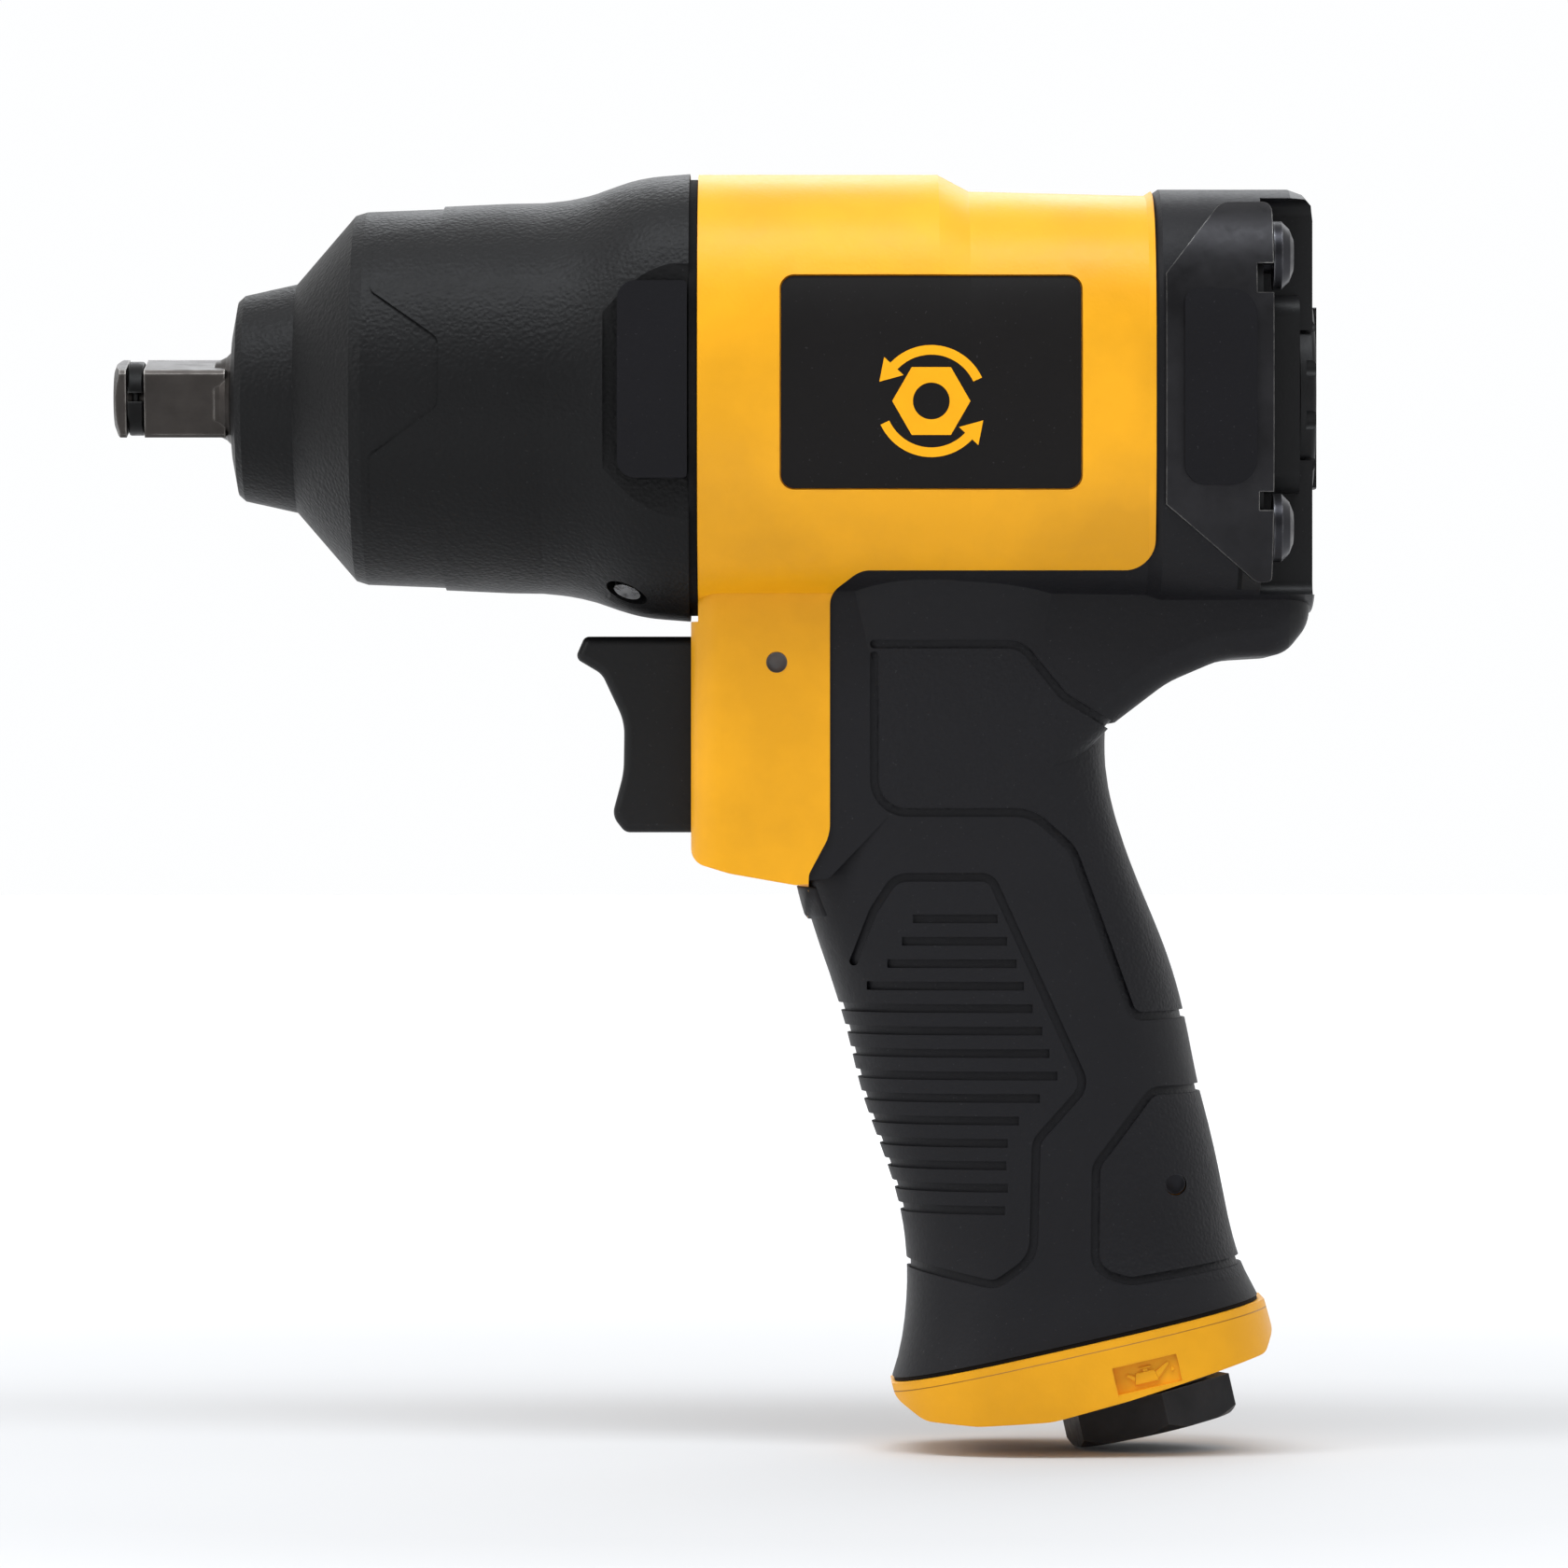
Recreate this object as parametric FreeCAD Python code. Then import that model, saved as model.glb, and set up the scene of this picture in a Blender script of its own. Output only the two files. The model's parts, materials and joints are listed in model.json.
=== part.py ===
import FreeCAD, Part
import math
import os

# Pistol-grip air impact wrench with a 3/8 inch square drive, built as separate pieces.
# Millimetres, +Z up.  The drive axis is the X axis and the drive points to -X.  The origin is the centre of
# the square drive's root, where a socket's mouth seats.  The handle hangs down, leaning back.

V = FreeCAD.Vector
X_AXIS, Y_AXIS, Z_AXIS = V(1, 0, 0), V(0, 1, 0), V(0, 0, 1)
SECTION_POINTS = 36          # points round a smooth section
FAR = 300.0                  # longer than the tool, for cutters that run right through

# ---------------------------------------------------------------- driving dimensions
# square drive and anvil
SQUARE = 9.5                 # across flats, 3/8 inch drive
SQUARE_LEN = 14.0            # root to tip
SQUARE_TURN = 12.0           # how far the square stands turned from level, degrees
RING_WIDTH = 2.2             # friction-ring groove
NECK_LEN = 2.6               # curved neck from the square to the journal
JOURNAL_R = 7.9
# hammer case
NOSE_X = 2.6                 # nose face
NOSE_R = 14.3
NOSE_LEN = 8.8
CONE_LEN = 8.2
CASE_R = 25.9
CASE_WALL = 3.2
FLANGE_X = 66.0              # rear face of the hammer case
FLANGE_H = 31.0              # half height of the flange
PANEL_STEP = 0.35            # the raised panel on the case
GASKET_T = 1.1
# motor barrel
BARREL_W = 29.5              # half width
FRONT_TOP = 30.9             # top height, front part
REAR_TOP = 28.6              # top height, behind the step
STEP_X, STEP_RUN = 100.2, 4.2
YELLOW_END_X = 130.0
OVER_INSET = 0.45            # the black skin lies this far under the yellow one
OVER_T = 1.9                 # thickness of the overmould
# handle
GRIP_TILT = 12.8             # degrees
GRIP_FOOT = (119.4, -130.05)  # x, z of the foot's centre
THROAT_X = 66.2              # flat front of the trigger housing
THROAT_FOOT_Z = -64.3
# motor
MOTOR_R = 21.0
CYL_BORE_R = 16.5
CYL_OFFSET = 1.4
CYL_LEN = 38.0
ROTOR_R = 15.0
VANES = 6
VANE_T = 1.5
# front bushing and thrust washer, round the journal
BUSH_R = JOURNAL_R + 2.6
WASHER_R = JOURNAL_R + 6.1
# clearances
RUN = 0.08                   # running clearance, radial
LOOSE = 0.3                  # between moving parts with no fit
FIT = 0.1                    # loose seat
# trigger
TRIGGER_TOP, TRIGGER_FOOT = -33.2, -60.3
TRIGGER_W = 7.5              # half width
TRIGGER_TRAVEL = 5.0
TRIGGER_BACK = 70.5          # rear face of the trigger's pad
ROD_Z = -47.0
ROD_R = 2.2
# bolts
BOLT_Y, BOLT_Z, BOLT_R = 21.5, 18.6, 2.5
BOLT_X = 60.8                # front end of the bolts
HEAD_R, HEAD_H = 4.7, 2.8
# rear end
TOWER_W = 11.0               # half width of the rear cover between the bolt pockets
TURRET_W, TURRET_H = 15.0, 13.6
POCKET_TOP, POCKET_FOOT = 26.7, -27.6
KNOB_R = 13.6
GUARD_T = 1.3
# inlet
INLET_T = 7.7                # inlet axis behind the grip axis
HEX_AF = 22.0
INLET_FOOT = -15.3           # end of the hexagon, along the handle
THREAD_R = 5.7               # 1/4 inch NPT, wall radius of the tapped hole
THREAD_LEN = 13.0

os.makedirs("parts", exist_ok=True)
PIECES = {}


def keep(name, shape):
    """Files a finished piece under its node name."""
    PIECES[name] = shape
    return shape


# ---------------------------------------------------------------- small helpers
def cyl(radius, x0, x1, y=0.0, z=0.0):
    """Cylinder along X from x0 to x1."""
    return Part.makeCylinder(radius, x1 - x0, V(x0, y, z), X_AXIS)


def cyl_y(radius, x, z, half):
    """Cylinder along Y through (x, z), reaching half each side."""
    return Part.makeCylinder(radius, 2 * half, V(x, -half, z), Y_AXIS)


def tube(outer, inner, x0, x1, y=0.0, z=0.0):
    return cyl(outer, x0, x1, y, z).cut(cyl(inner, x0 - 1, x1 + 1, y, z))


def box(x0, x1, y0, y1, z0, z1):
    return Part.makeBox(x1 - x0, y1 - y0, z1 - z0, V(x0, y0, z0))


def ring(major, minor, x):
    """Round-section ring about the drive axis."""
    return Part.makeTorus(major, minor, V(x, 0, 0), X_AXIS)


def spin(points):
    """Solid of revolution about X from (x, r) points, closed along the axis."""
    pts = [V(x, 0, r) for x, r in points]
    pts = [V(points[0][0], 0, 0)] + pts + [V(points[-1][0], 0, 0)]
    face = Part.Face(Part.makePolygon(pts + [pts[0]]))
    return face.revolve(V(0, 0, 0), X_AXIS, 360)


def rounded_wire(corners, closed=True):
    """Wire in the XZ plane from (x, z, radius) corners, each corner rounded by a tangent arc."""
    n = len(corners)
    pts = [V(c[0], 0, c[1]) for c in corners]
    ends = []
    for i, corner in enumerate(corners):
        p, radius = pts[i], corner[2] if len(corner) > 2 else 0.0
        if radius <= 0 or (not closed and i in (0, n - 1)):
            ends.append((p, None, p))
            continue
        a, b = (pts[i - 1] - p), (pts[(i + 1) % n] - p)
        la, lb = a.Length, b.Length
        a.normalize()
        b.normalize()
        half = a.getAngle(b) / 2
        cut = min(radius / math.tan(half), 0.49 * la, 0.49 * lb)
        true_r = cut * math.tan(half)
        mid_dir = a + b
        mid_dir.normalize()
        mid = p + mid_dir * (true_r / math.sin(half) - true_r)
        ends.append((p + a * cut, mid, p + b * cut))
    edges = []
    for i in range(n):
        start, mid, stop = ends[i]
        if mid is not None:
            edges.append(Part.Arc(start, mid, stop).toShape())
        if i < n - 1 or closed:
            following = ends[(i + 1) % n][0]
            if (following - stop).Length > 1e-6:
                edges.append(Part.LineSegment(stop, following).toShape())
    return Part.Wire(edges)


def side_prism(corners, half=FAR):
    """Solid with a rounded outline in side view, reaching half each side of the middle plane."""
    face = Part.Face(rounded_wire(corners))
    face.translate(V(0, -half, 0))
    return face.extrude(V(0, 2 * half, 0))


def band(corners, width, half=FAR):
    """Prism that follows an open side-view line with the given width, for cutting a groove."""
    line = rounded_wire(corners, closed=False)
    outline = line.makeOffset2D(width / 2, 0, False, False)
    face = Part.Face(outline.Wires[0])
    face.translate(V(0, -half, 0))
    return face.extrude(V(0, 2 * half, 0))


def mirror_y(shape):
    return shape.mirror(V(0, 0, 0), Y_AXIS)


def both_sides(shape):
    """The piece and its mirror twin as one group of separate solids."""
    return Part.makeCompound([shape, mirror_y(shape)])


def grip_point(t, s, y=0.0):
    """Point in the handle's own frame: t towards the back, s up along the handle."""
    a = math.radians(GRIP_TILT)
    return V(GRIP_FOOT[0] + t * math.cos(a) - s * math.sin(a), y, GRIP_FOOT[1] + t * math.sin(a) + s * math.cos(a))


def grip_axis():
    a = math.radians(GRIP_TILT)
    return V(-math.sin(a), 0, math.cos(a))


def grip_cyl(radius, t, s0, s1, y=0.0):
    """Cylinder along the handle."""
    return Part.makeCylinder(radius, s1 - s0, grip_point(t, s0, y), grip_axis())


def grip_placed(shape):
    """Moves a shape drawn at the origin (X to the back, Z up) into the handle's frame."""
    shape = shape.copy()
    shape.rotate(V(0, 0, 0), Y_AXIS, -GRIP_TILT)
    shape.translate(V(GRIP_FOOT[0], 0, GRIP_FOOT[1]))
    return shape


def smooth_ring(points):
    """Closed smooth curve through the points."""
    curve = Part.BSplineCurve()
    curve.interpolate(Points=points, PeriodicFlag=True)
    return Part.Wire([curve.toShape()])


def rounded_square(centre, across, up, half_w, half_h, power, lower=None):
    """Superellipse section: half_w along across, half_h along up, lower the other way if given."""
    points = []
    for i in range(SECTION_POINTS):
        a = 2 * math.pi * i / SECTION_POINTS
        c, s = math.cos(a), math.sin(a)
        reach = lower if (lower is not None and s < 0) else half_h
        scale = (abs(c) ** power + abs(s) ** power) ** (-1 / power)
        points.append(centre + across * (c * scale * half_w) + up * (s * scale * reach))
    return smooth_ring(points)


def side_point(x, z):
    return V(x, 0, z)


def inner(wire_face, inset):
    """The face of an outline, drawn in by the given amount."""
    if inset <= 0:
        return wire_face
    return wire_face.makeOffset2D(-inset)


# ---------------------------------------------------------------- body of the tool, at any depth under its skin
BARREL_STATIONS = [                      # x, top, half width, squareness
    (67.2, FRONT_TOP, BARREL_W, 2.7),
    (STEP_X, FRONT_TOP, BARREL_W, 2.7),
    (STEP_X + STEP_RUN, REAR_TOP, BARREL_W - 0.4, 2.8),
    (128.7, REAR_TOP - 0.7, BARREL_W - 0.6, 3.0),
    (130.6, REAR_TOP + 0.5, BARREL_W - 0.5, 3.4),
    (148.4, REAR_TOP + 0.5, BARREL_W - 0.7, 3.4),
    (150.4, REAR_TOP - 0.2, BARREL_W - 1.5, 3.4),
    (151.6, REAR_TOP - 1.6, BARREL_W - 2.8, 3.4),
    (152.3, REAR_TOP - 3.6, BARREL_W - 4.8, 3.4),
]
BLOCK_OUTLINE = [                        # trigger housing and rear web, side view
    (THROAT_X, -16), (THROAT_X, THROAT_FOOT_Z, 2.5), (71.5, -65.9, 8), (80.6, -67.5, 1.5), (85.4, -67.0, 2),
    (94, -58), (110, -57), (118.0, -52.5, 14), (124.4, -45.8, 6), (132.0, -40.0, 14), (139.5, -36.8, 12),
    (148.0, -36.3, 5), (151.6, -31.8, 6), (152.3, -16),
]
BLOCK_W = 17.2
BLOCK_EDGE = 4.5             # rounding of the front corners
WEB_EDGE = 4.0               # rounding along the web's underside
HANDLE_RUNGS = [                         # front x, z, back x, z, half width, squareness
    (84.0, -12.0, 121.5, -8.0, 24.0, 3.2),
    (83.0, -24.0, 122.0, -20.0, 20.9, 3.0),
    (82.0, -35.0, 123.2, -32.0, 18.3, 3.3),
    (81.0, -46.0, 124.0, -44.0, 17.5, 3.8),
    (80.4, -57.0, 124.6, -55.0, 17.3, 4.2),
    (81.2, -68.4, 129.0, -68.2, 17.3, 3.8),
    (84.9, -80.0, 133.2, -78.8, 17.5, 2.9),
    (88.4, -92.5, 136.2, -91.2, 17.7, 2.5),
    (92.4, -105.0, 139.0, -103.0, 17.9, 2.5),
    (95.4, -117.0, 141.4, -114.5, 18.3, 2.5),
    (95.4, -127.5, 143.4, -120.8, 19.3, 2.6),
]
FOOT_HALF, FOOT_W = 26.4, 20.2


def barrel(inset):
    wires = []
    last = len(BARREL_STATIONS) - 1
    for i, (x, top, half, power) in enumerate(BARREL_STATIONS):
        if i == last:
            x -= inset
        wires.append(rounded_square(V(x, 0, 0), Y_AXIS, Z_AXIS, half - inset, top - inset, power, 30.3 - inset))
    return Part.makeLoft(wires, True, True)


def block(inset):
    """Trigger housing and rear web: the side outline kept inside a box with rounded corners."""
    face = inner(Part.Face(rounded_wire(BLOCK_OUTLINE)), inset)
    half = BLOCK_W - inset
    face.translate(V(0, -FAR, 0))
    solid = face.extrude(V(0, 2 * FAR, 0))
    shell = box(THROAT_X + inset, 170.0, -half, half, -80.0, 0.0)
    corners = [e for e in shell.Edges if e.BoundBox.ZLength > 5 and e.BoundBox.XMax < 100]
    solid = solid.common(shell.makeFillet(BLOCK_EDGE - inset * 0.8, corners))
    rims = [e for e in solid.Edges if e.BoundBox.YLength < 1e-6 and abs(abs(e.BoundBox.YMin) - half) < 1e-6
            and e.BoundBox.XMin > 117 and e.BoundBox.ZMax < -15.0]
    return solid.makeFillet(WEB_EDGE - inset * 0.5, rims)


def handle(inset):
    wires = []
    a = math.radians(GRIP_TILT)
    rungs = [(side_point(r[0], r[1]), side_point(r[2], r[3]), r[4], r[5]) for r in HANDLE_RUNGS]
    rungs.append((grip_point(-FOOT_HALF, 0), grip_point(FOOT_HALF, 0), FOOT_W, 2.8))
    for front, back, half, power in rungs:
        along = back - front
        reach = along.Length / 2 - inset
        along.normalize()
        wires.append(rounded_square((front + back) / 2, along, Y_AXIS, reach, half - inset, power))
    return Part.makeLoft(wires, True, False)


BODIES = {}


def body(inset):
    """The tool's whole body, drawn in by inset all round."""
    if inset not in BODIES:
        BODIES[inset] = barrel(inset).fuse([handle(inset), block(inset)])
    return BODIES[inset]


# ---------------------------------------------------------------- hammer case
CASE_STATIONS = [                        # x, radius of the round front part
    (2.5, 9.2), (3.3, NOSE_R - 0.8), (4.2, NOSE_R), (NOSE_X + NOSE_LEN, 15.9),
    (NOSE_X + NOSE_LEN + CONE_LEN, CASE_R - 0.5), (NOSE_X + NOSE_LEN + CONE_LEN + 1.6, CASE_R), (32.6, CASE_R + 0.45),
]
RISE_H, RISE_W = FLANGE_H - CASE_R, BARREL_W - CASE_R
FLARE_STATIONS = [                       # x, half height, half width, squareness
    (32.6, CASE_R + 0.45, CASE_R + 0.45, 2.0), (41.0, CASE_R + 1.0, CASE_R + 1.0, 2.0),
    (48.0, CASE_R + 0.29 * RISE_H, CASE_R + 0.39 * RISE_W, 2.03),
    (53.0, CASE_R + 0.49 * RISE_H, CASE_R + 0.58 * RISE_W, 2.2),
    (58.2, CASE_R + 0.82 * RISE_H, CASE_R + 0.83 * RISE_W, 2.5),
    (62.1, FLANGE_H - 0.3, BARREL_W - 0.2, 2.65), (FLANGE_X, FLANGE_H, BARREL_W, 2.7),
]
PANEL_EDGE = [(31.8, 23, 1), (22.9, 22, 1.5), (22.4, 13.9, 1.5), (31.9, 7.2, 2), (31.9, -2.1, 2), (22.4, -9, 1.5),
              (22.4, -17.6, 1.5), (31.8, -19.0, 1)]


def round_station(x, radius):
    return rounded_square(V(x, 0, 0), Y_AXIS, Z_AXIS, radius, radius, 2.0)


def case_outer():
    nose = Part.makeLoft([round_station(x, r) for x, r in CASE_STATIONS], True, True)
    wires = [rounded_square(V(x, 0, 0), Y_AXIS, Z_AXIS, w, h, n) for x, h, w, n in FLARE_STATIONS]
    return nose.fuse(Part.makeLoft(wires, True, False))


def make_case():
    inside_r = CASE_R - CASE_WALL
    # the raised panel is a slightly larger copy of the same shape, kept only behind its zigzag edge
    stations = [(15.0, 18.0)] + [(x, r + PANEL_STEP) for x, r in CASE_STATIONS[4:]]
    stations += [(41.0, CASE_R + 1.17), (50.0, CASE_R + 1.32)]
    skin = Part.makeLoft([round_station(x, r) for x, r in stations], True, True)
    outline = [(60.0, 40.0), (32.6, 40.0)] + PANEL_EDGE + [(32.6, -40.0), (60.0, -40.0)]
    panel = side_prism(outline).common(skin)
    shell = case_outer().fuse(panel)
    hollow = spin([(18.8, WASHER_R + 3.0), (21.7, inside_r), (FLANGE_X + 1, inside_r)])
    bores = [cyl(BUSH_R + FIT, 3.0, 30.0), cyl(JOURNAL_R + 0.5, 0.0, 5.0),
             spin([(17.2, WASHER_R + 1.0), (19.5, WASHER_R + 3.4)])]
    shell = shell.cut(hollow.fuse(bores))
    # side recess for the rubber pad, one each side
    recess = side_prism([(54.3, 17.2, 5), (75, 17.2), (75, -17.6), (54.3, -17.6, 5)])
    floor = box(50, 75, -BARREL_W + 2.6, BARREL_W - 2.6, -40, 40)
    shell = shell.cut(recess.cut(floor))
    # bolt threads and the slanted grease hole
    holes = [cyl(BOLT_R + FIT, BOLT_X - 0.5, 70.0, sy * BOLT_Y, sz * BOLT_Z) for sy in (-1, 1) for sz in (-1, 1)]
    shell = shell.cut(holes[0].fuse(holes[1:]))
    return shell.cut(grease_hole(2.0, 10.0).fuse(grease_hole(3.0, 1.6)))


def grease_hole(radius, depth):
    """Cylinder square to the lower flare, sunk by depth under the surface."""
    out = V(-0.30, -0.42, -0.86)
    out.normalize()
    foot = V(57.6, -14.0, -26.7)
    return Part.makeCylinder(radius, depth + 6.0, foot - out * depth, out)


def make_nose():
    keep("nose_bushing", tube(BUSH_R, JOURNAL_R + RUN, 3.1, 16.9))
    keep("thrust_washer", tube(WASHER_R, JOURNAL_R + LOOSE, 17.3, 18.5))
    above = grease_hole(5.0, -0.6)
    plug = grease_hole(1.9, 5.0)
    keep("grease_plug", plug.common(grease_hole(5.0, 0.2).cut(above).fuse(plug.cut(above))))
    gasket = rounded_square(V(FLANGE_X + 0.02, 0, 0), Y_AXIS, Z_AXIS, BARREL_W - 0.7, FLANGE_H - 0.8, 2.7)
    plate = Part.Face(gasket).extrude(V(GASKET_T - 0.04, 0, 0))
    cuts = [cyl(BOLT_R + LOOSE, 60, 70, sy * BOLT_Y, sz * BOLT_Z) for sy in (-1, 1) for sz in (-1, 1)]
    keep("front_gasket", plate.cut(cyl(21.5, 60, 70).fuse(cuts)))
    pad = side_prism([(56.3, 14.8, 2.5), (65.8, 14.8, 0.6), (65.8, -12.0, 0.6), (56.3, -12.0, 2.5)])
    pad = pad.common(box(50, 75, BARREL_W - 2.6, BARREL_W - 0.2, -40, 40))
    keep("front_pad_right", pad)
    keep("front_pad_left", mirror_y(pad))


# ---------------------------------------------------------------- anvil, friction ring, hammer cage and dogs
CAGE_R = CASE_R - CASE_WALL - 1.2
CAGE_BORE = CAGE_R - 2.1
PIN_Z, PIN_R = CAGE_R - 4.0, 2.4
DOG_R = CAGE_BORE - 1.6
CORE_R = JOURNAL_R + 0.3
DOG_DEPTH = DOG_R - CORE_R
DOG_BORE = CORE_R + 0.43 * DOG_DEPTH
LOBE_R = CORE_R + 0.27 * DOG_DEPTH
DOG_JAW = CORE_R + 0.17 * DOG_DEPTH
DOG_SWING = 4.0
DOG_SPANS = [(26.0, 39.0), (40.5, 53.5)]


def make_anvil():
    half = SQUARE / 2
    square = box(-SQUARE_LEN, 1.5, -half, half, -half, half)
    square = square.makeChamfer(0.5, [e for e in square.Edges if e.BoundBox.XLength > 5])
    square = square.common(spin([(-SQUARE_LEN, 4.0), (-SQUARE_LEN + 0.9, 6.4), (2.0, 6.6)]))
    square.rotate(V(0, 0, 0), X_AXIS, SQUARE_TURN)
    square = square.cut(tube(9, 3.0, -12.2, -12.2 + RING_WIDTH + 0.3))
    # concave neck between the square and the round journal
    steps = 5
    neck = [(0.0, 5.3)]
    for i in range(1, steps + 1):
        u = i / steps
        neck.append((NECK_LEN * math.sin(u * math.pi / 2), 5.3 + (JOURNAL_R - 5.3) * (1 - math.cos(u * math.pi / 2))))
    shaft = spin(neck + [(18.6, JOURNAL_R), (18.6, BUSH_R - 0.4), (19.0, BUSH_R), (21.6, BUSH_R), (21.6, CORE_R),
                         (54.0, CORE_R), (54.0, 5.0), (58.0, 5.0)])
    lobes = []
    for (x0, x1), sign in zip(DOG_SPANS, (-1, 1)):
        sector = cyl(LOBE_R, x0 + 0.5, x1 - 0.5).common(box(x0, x1, 0, 20, -6.0, 6.0))
        lobes.append(sector if sign > 0 else mirror_y(sector))
    anvil = square.fuse([shaft] + lobes)
    return anvil.cut(tube(JOURNAL_R + 1, JOURNAL_R - 1.9, 9.0, 11.0))


def make_drive():
    keep("anvil", make_anvil())
    keep("anvil_o_ring", ring(JOURNAL_R - 0.96, 0.9, 10.0))
    x0 = -12.2 + 0.15
    clip = tube(5.15, 4.1, x0, x0 + RING_WIDTH)
    clip = clip.makeFillet(0.35, outer_edges(clip, 5.15))
    gap = box(-14, -8, -8.0, -3.0, -0.6, 0.6)
    keep("friction_ring", clip.cut(gap))
    keep("ring_backing_o_ring", ring(3.53, 0.5, x0 + RING_WIDTH / 2))
    # carrier for the two swinging hammers
    cage = tube(CAGE_R, CAGE_BORE, 22.0, 58.5)
    cage = cage.fuse([tube(CAGE_R, CORE_R + 0.7, 22.0, 25.5), tube(CAGE_R, 5.0 + RUN, 54.2, 58.5),
                      tube(9.6, 4.0, 58.5, 67.0)])
    windows = [box(25.5, 54.2, -13.5, 13.5, 9.0, 40), box(25.5, 54.2, -13.5, 13.5, -40, -9.0)]
    pins = [cyl(PIN_R + 0.02, 20.0, 60.0, 0, s * PIN_Z) for s in (-1, 1)]
    spline = six_splines(6.0 + RUN, 5.0 + RUN, 59.5, 68.0, 1.3)
    keep("hammer_cage", cage.cut(windows[0].fuse([windows[1], spline] + pins)))
    keep("hammer_pins", Part.makeCompound([cyl(PIN_R, 22.3, 58.2, 0, s * PIN_Z) for s in (-1, 1)]))
    dog = make_dog(*DOG_SPANS[0])
    keep("hammer_dog_front", dog)
    rear = make_dog(*DOG_SPANS[1])
    rear.rotate(V(0, 0, 0), X_AXIS, 180)
    keep("hammer_dog_rear", rear)


def outer_edges(shape, radius):
    return [e for e in shape.Edges if hasattr(e.Curve, "Radius") and abs(e.Curve.Radius - radius) < 1e-6]


def make_dog(x0, x1):
    """Hammer ring hanging from the upper pin, with its striking jaw on the +Y side."""
    dog = tube(DOG_R, DOG_BORE, x0, x1)
    jaw = tube(DOG_BORE + 0.5, DOG_JAW, x0, x1).common(box(x0, x1, 0, 20, -4.5, 4.5))
    dog = dog.fuse(jaw)
    sweep = 2 * PIN_Z * math.sin(math.radians(DOG_SWING)) + PIN_R + LOOSE
    stop = box(x0 - 1, x1 + 1, -sweep, sweep, -30, -PIN_Z + PIN_R + 0.8)
    return dog.cut(cyl(PIN_R + RUN, x0 - 1, x1 + 1, 0, PIN_Z).fuse(stop))


def six_splines(tip, root, x0, x1, half):
    """Round bar with six straight splines."""
    teeth = []
    for i in range(6):
        tooth = box(x0, x1, -half, half, 0, tip)
        tooth.rotate(V(0, 0, 0), X_AXIS, 60 * i)
        teeth.append(tooth)
    return cyl(root, x0, x1).fuse([t.common(cyl(tip, x0, x1)) for t in teeth])


# ---------------------------------------------------------------- air motor
FRONT_PLATE_X = 68.0
CYL_X = 76.0
REAR_PLATE_X = CYL_X + CYL_LEN
BALL_R, BALL_PITCH, BALLS = 1.7, 9.0, 10


def make_motor():
    edge = MOTOR_R - FIT
    front = tube(edge, 6.4, FRONT_PLATE_X, CYL_X - 0.02)
    keep("motor_front_plate", front.cut(cyl(12.02, FRONT_PLATE_X - 1, FRONT_PLATE_X + 6.0)))
    rear = tube(edge, 5.6, REAR_PLATE_X + 0.02, REAR_PLATE_X + 8.0)
    inlet = [cyl(2.4, 100, 130, s * 9.5, 9.5) for s in (-1, 1)]
    keep("motor_rear_plate", rear.cut(cyl(12.02, REAR_PLATE_X + 2.0, REAR_PLATE_X + 9.0).fuse(inlet)))
    liner = cyl(edge, CYL_X, REAR_PLATE_X).cut(cyl(CYL_BORE_R, CYL_X - 1, REAR_PLATE_X + 1, 0, CYL_OFFSET))
    ports = [box(CYL_X + 8 + 6 * i, CYL_X + 11 + 6 * i, -9, 9, -40, -12) for i in range(4)]
    feeds = [cyl(1.6, CYL_X - 1, REAR_PLATE_X + 1, s * 13.4, -13.0) for s in (-1, 1)]
    liner = liner.cut(ports[0].fuse(ports[1:] + feeds))
    keep("cylinder_liner", liner)
    x0, x1 = CYL_X + 0.08, REAR_PLATE_X - 0.08
    rotor = cyl(ROTOR_R, x0, x1).fuse([cyl(5.98, 67.4, x0 + 1), cyl(5.0, x1 - 1, REAR_PLATE_X + 8.5),
                                       six_splines(6.0, 5.0, 59.8, 67.5, 1.3 - RUN)])
    slots, blades = [], []
    for i in range(VANES):
        slot = box(x0 - 1, x1 + 1, -VANE_T / 2, VANE_T / 2, 8.2, 20)
        blade = box(x0 + 0.02, x1 - 0.02, -VANE_T / 2 + 0.04, VANE_T / 2 - 0.04, 8.6, ROTOR_R - 0.05)
        slot.rotate(V(0, 0, 0), X_AXIS, 360.0 / VANES * i)
        blade.rotate(V(0, 0, 0), X_AXIS, 360.0 / VANES * i)
        slots.append(slot)
        blades.append(blade)
    keep("rotor", rotor.cut(slots[0].fuse(slots[1:])))
    keep("rotor_vanes", Part.makeCompound(blades))
    make_bearing("front", FRONT_PLATE_X + 0.1, 6.0)
    make_bearing("rear", REAR_PLATE_X + 2.1, 5.02)


def make_bearing(where, x0, bore):
    width = 5.8
    mid = x0 + width / 2
    race = ring(BALL_PITCH, BALL_R + 0.05, mid)
    keep(where + "_bearing_outer", tube(12.0, 10.3, x0, x0 + width).cut(race))
    keep(where + "_bearing_inner", tube(7.7, bore, x0, x0 + width).cut(race))
    balls = []
    cage = tube(9.5, 8.5, mid - 2.2, mid + 2.2)
    pockets = []
    for i in range(BALLS):
        a = 2 * math.pi * i / BALLS
        at = V(mid, BALL_PITCH * math.cos(a), BALL_PITCH * math.sin(a))
        balls.append(Part.makeSphere(BALL_R, at))
        pockets.append(Part.makeSphere(BALL_R + 0.06, at))
    keep(where + "_bearing_cage", cage.cut(pockets[0].fuse(pockets[1:])))
    keep(where + "_bearing_balls", Part.makeCompound(balls))


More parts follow.
